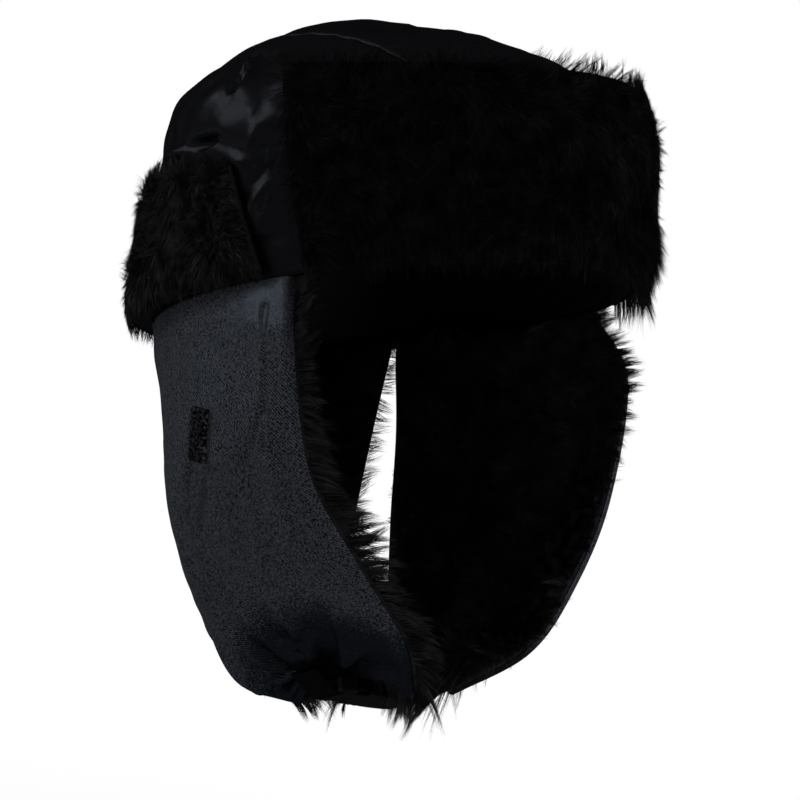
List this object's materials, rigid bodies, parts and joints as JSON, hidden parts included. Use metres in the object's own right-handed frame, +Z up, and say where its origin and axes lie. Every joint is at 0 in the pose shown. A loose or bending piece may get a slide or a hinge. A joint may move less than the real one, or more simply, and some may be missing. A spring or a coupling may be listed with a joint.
{
  "type": "trapper hat",
  "caption": "Satin winter hat with a turned-up fur visor and cuff, fur-lined ear flaps buckled under the chin, and a fur-lined neck flap.",
  "frame": {"origin": "centre of the head opening, in the plane of the hem", "axes": "+Z up through the crown, -Y to the front of the hat, +X to the wearer's left"},
  "size_m": [0.1854, 0.227, 0.276],
  "materials": {
    "satin": "smooth navy-black nylon satin with a soft sheen",
    "lining": "plain black lining cloth",
    "wadding": "matte white fibre wadding",
    "fur": "long black imitation fur",
    "interlining": "stiff grey non-woven cloth",
    "webbing": "black woven webbing",
    "plastic": "black moulded plastic with a slight sheen",
    "loops": "fuzzy black loop tape"
  },
  "bodies": {
    "crown": {"crown_center_panel": "satin", "crown_right_panel": "satin", "crown_left_panel": "satin", "crown_wadding": "wadding", "crown_lining": "lining", "rear_cuff_backing": "satin", "rear_cuff_fur": "fur"},
    "visor": {"visor_backing": "satin", "visor_interlining": "interlining", "visor_fur": "fur"},
    "right_flap": {"right_flap_shell": "satin", "right_flap_wadding": "wadding", "right_flap_fur": "fur", "right_loop_patch": "loops", "right_strap": "webbing", "buckle_socket": "plastic"},
    "left_flap": {"left_flap_shell": "satin", "left_flap_wadding": "wadding", "left_flap_fur": "fur", "left_loop_patch": "loops", "left_strap": "webbing", "buckle_plug": "plastic"},
    "neck_flap": {"neck_flap_shell": "satin", "neck_flap_wadding": "wadding", "neck_flap_fur": "fur"},
    "buckle_arm_front": {"buckle_arm_front": "plastic"},
    "buckle_arm_rear": {"buckle_arm_rear": "plastic"}
  },
  "joints": [
    {"name": "visor_fold", "type": "hinge", "parent": "crown", "child": "visor", "pos_m": [0, -0.1081, 0.03179], "axis": [1, 0, 0], "range_deg": [0, 60]},
    {"name": "right_flap_fold", "type": "hinge", "parent": "crown", "child": "right_flap", "pos_m": [-0.086, 0, 0], "axis": [0, 0.9622, -0.2723], "range_deg": [0, 90]},
    {"name": "left_flap_fold", "type": "hinge", "parent": "crown", "child": "left_flap", "pos_m": [0.086, 0, 0], "axis": [0, 0.9622, -0.2723], "range_deg": [-90, 0]},
    {"name": "neck_flap_fold", "type": "hinge", "parent": "crown", "child": "neck_flap", "pos_m": [0, 0.106, -0.03], "axis": [1, 0, 0], "range_deg": [0, 72]},
    {"name": "buckle_front_arm_squeeze", "type": "hinge", "parent": "left_flap", "child": "buckle_arm_front", "pos_m": [-0.00119, -0.03188, -0.14911], "axis": [-0.0969, -0.3746, -0.9221], "range_deg": [0, 12], "stiffness_Nm_per_rad": 0.3},
    {"name": "buckle_rear_arm_squeeze", "type": "hinge", "parent": "left_flap", "child": "buckle_arm_rear", "pos_m": [-0.00164, -0.02112, -0.15343], "axis": [-0.0969, -0.3746, -0.9221], "range_deg": [-12, 0], "stiffness_Nm_per_rad": 0.3}
  ],
  "couplings": [
    {"joint": "left_flap_fold", "follows": "right_flap_fold", "ratio": -1}
  ]
}
